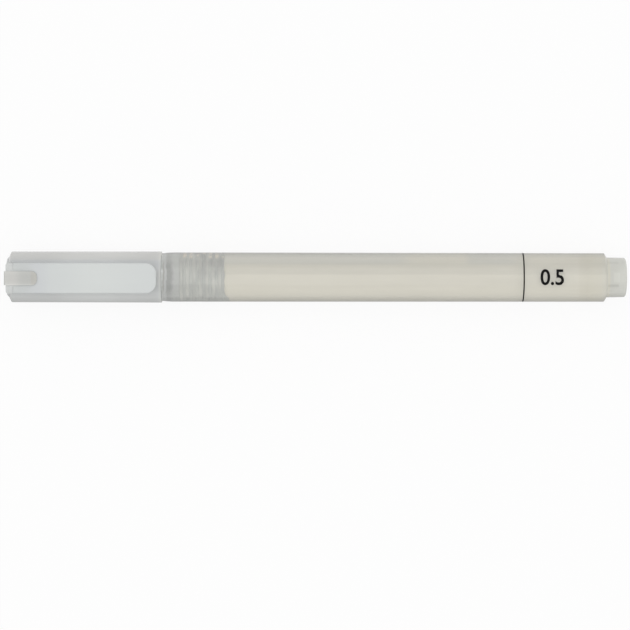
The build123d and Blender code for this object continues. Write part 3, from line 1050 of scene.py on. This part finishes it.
tongue_plastic = milky_plastic(
    "tongue_plastic",
    pale=(0.615, 0.615, 0.595),
    deep=(0.595, 0.595, 0.575),
    roughness=0.22,
    across=strap_edge_highlights,
    along=strap_tones_and_end_highlight,
)
strap = eased("clip_tongue", strap_ease, segments=4, over=on_pen(0, strap_ease_over).z)
strap_foot = on_pen(0, strap_underside).z
under = [v for v in strap.verts if abs(v.co.z - strap_foot) < strap_underside_reach * mm]
bmesh.ops.translate(strap, verts=under, vec=(0, 0, -strap_bedding * mm))
for v in strap.verts:
    if v.co.z > strap_foot:
        v.co.z = strap_foot + strap_height_left * (v.co.z - strap_foot)
bmesh.ops.scale(strap, verts=strap.verts, vec=(1, strap_width_left, 1))
strap_end = [v for v in strap.verts if v.co.x < on_pen(strap_end_station, 0).x]
bmesh.ops.translate(strap, verts=strap_end, vec=(strap_end_set_back * mm, 0, 0))
finished("clip_strap", strap, tongue_plastic, "cap", "tongue_plastic", "clip_tongue")

clip_plastic = milky_plastic(
    "clip_plastic",
    pale=(0.695, 0.72, 0.705),
    deep=(0.68, 0.705, 0.69),
    roughness=0.24,
    along=clip_tones,
)
clip_form = eased("pocket_clip", clip_ease)
finished("clip_plate", clip_form, clip_plastic, "clip", "clip_plastic", "pocket_clip")


# Heel: the moulded block on the cap's end that the clip's root sits against, in the same
# polypropylene as the end plug. Its thin brim lies on the clip's root under the strap, and its
# foot spreads on to the cap's bevelled end.
heel_front = -34.62
heel_back = -33.36
heel_foot = 4.5
heel_top = 7.85
heel_width = 6.78
brim_end = -32.95
brim_underside = 7.8
foot_spread = 1.24
foot_set_back = 0.32
foot_drop = 1.7
corner_round = (0.5, 5)
brim_round = (0.12, 3)
front_limit = on_pen(-34, 0).x
foot_limit = on_pen(0, 5).z
brim_limit = on_pen(-33.5, 0).x
top_limit = on_pen(0, heel_top - 0.01).z

heel = bmesh.new()
heel_side = [
    (heel_front, heel_foot),
    (heel_front, heel_top),
    (brim_end, heel_top),
    (brim_end, brim_underside),
    (heel_back, brim_underside),
    (heel_back, heel_foot),
]
near_side = Vector((0, -heel_width / 2 * mm, 0))
outline = [heel.verts.new(on_pen(*place) + near_side) for place in heel_side]
side_face = bmesh.ops.contextual_create(heel, geom=outline)["faces"]
drawn_out(heel, side_face, (0, heel_width * mm, 0))
for v in heel.verts:
    if v.co.z < foot_limit and v.co.x < front_limit:
        v.co.y *= foot_spread
        v.co.x += foot_set_back * mm
        v.co.z -= foot_drop * mm
bmesh.ops.recalc_face_normals(heel, faces=heel.faces)
corners = [
    e
    for e in heel.edges
    if abs(e.verts[0].co.z - e.verts[1].co.z) > mm and e.verts[0].co.x < front_limit
]
rounded(heel, corners, *corner_round)
brim = [
    e
    for e in heel.edges
    if all(v.co.z > top_limit for v in e.verts)
    and min(v.co.x for v in e.verts) < brim_limit
    and e.calc_face_angle(0) > sharp_enough
]
rounded(heel, brim, *brim_round)
heel_plastic = milky_plastic(
    "heel_plastic", pale=(0.66, 0.675, 0.665), deep=(0.64, 0.655, 0.645), roughness=0.24
)
finished("cap_heel", heel, heel_plastic, "cap", "end_plug_plastic")


# Studio: a white sweep that shows as white and still takes the pen's soft shadow, with a broad
# softbox over the pen and a smaller one at each end. A grey card on the floor shades the pen's
# near side; the camera sees the sweep in its place.
floor_size = 4.0
floor_white = (0.95, 0.95, 0.95)
floor_own_light = 0.88
grey_card = [(-34, 0.95), (-26, 0.5), (-2, 0.5), (2, 0.95)]
fill_strength = 0.8
seen_directly = ("Is Camera Ray", "Is Glossy Ray", "Is Transmission Ray")
pen_spot = Vector((0, 0, 0))
softboxes = [
    ("overhead_softbox", (0, 0.15, 1.2), (1.8, 2.0), 5.5),
    ("right_softbox", (0.9, -0.3, 0.6), (0.9, 0.9), 1.0),
    ("left_softbox", (-0.9, 0.1, 0.6), (0.9, 0.9), 1.0),
]

floor_form = bmesh.new()
bmesh.ops.create_grid(floor_form, x_segments=1, y_segments=1, size=floor_size)
floor_mesh = bpy.data.meshes.new("floor")
floor_form.to_mesh(floor_mesh)
floor_form.free()
floor = bpy.data.objects.new("floor", floor_mesh)
bpy.context.scene.collection.objects.link(floor)

sweep, tree = new_material("white_sweep")
tree.nodes.clear()
clear_view = ray_is(tree, "Is Camera Ray", "Is Transmission Ray")
card = across_pen(tree, grey_card)
matt = tree.nodes.new("ShaderNodeBsdfDiffuse")
tree.links.new(tinted(tree, clear_view, card, floor_white), matt.inputs["Color"])
glow = tree.nodes.new("ShaderNodeEmission")
tree.links.new(tinted(tree, clear_view, card, untinted), glow.inputs["Color"])
glow_share = reckoned(tree, "MULTIPLY", ray_is(tree, *seen_directly), floor_own_light)
tree.links.new(
    joined(tree, glow_share, matt.outputs["BSDF"], glow.outputs["Emission"]),
    tree.nodes.new("ShaderNodeOutputMaterial").inputs["Surface"],
)
floor_mesh.materials.append(sweep)

room = bpy.data.worlds.new("studio")
bpy.context.scene.world = room
room.use_nodes = True
tree = room.node_tree
tree.nodes.clear()
fill = tree.nodes.new("ShaderNodeBackground")
fill.inputs["Strength"].default_value = fill_strength
backdrop = tree.nodes.new("ShaderNodeBackground")
tree.links.new(
    joined(
        tree,
        ray_is(tree, *seen_directly),
        fill.outputs["Background"],
        backdrop.outputs["Background"],
    ),
    tree.nodes.new("ShaderNodeOutputWorld").inputs["Surface"],
)

for name, place, (width, length), watts in softboxes:
    lamp = bpy.data.lights.new(name, "AREA")
    lamp.shape = "RECTANGLE"
    lamp.size = width
    lamp.size_y = length
    lamp.energy = watts
    box = bpy.data.objects.new(name, lamp)
    box.location = place
    box.rotation_euler = (pen_spot - Vector(place)).to_track_quat("-Z", "Y").to_euler()
    box.visible_camera = False
    bpy.context.scene.collection.objects.link(box)


# Camera: above the pen, a few degrees round it from the clip, at the distance that the bow
# of the ring line shows.
camera_sensor = 36.0
camera_focus = 161.4
camera_turn = math.radians(3.1)
camera_roll = 0.001
camera_place = Vector((-0.342, -8.58, 640.0))
lens = bpy.data.cameras.new("camera")
lens.sensor_width = camera_sensor
lens.lens = camera_focus
camera = bpy.data.objects.new("camera", lens)
away = Matrix.Rotation(-camera_turn, 3, "X") @ camera_place * mm
camera.location = Vector((0, 0, pen_line)) + away
camera.rotation_euler = (-camera_turn, 0, camera_roll)
bpy.context.scene.collection.objects.link(camera)
bpy.context.scene.camera = camera
bpy.context.scene.view_settings.view_transform = "Standard"
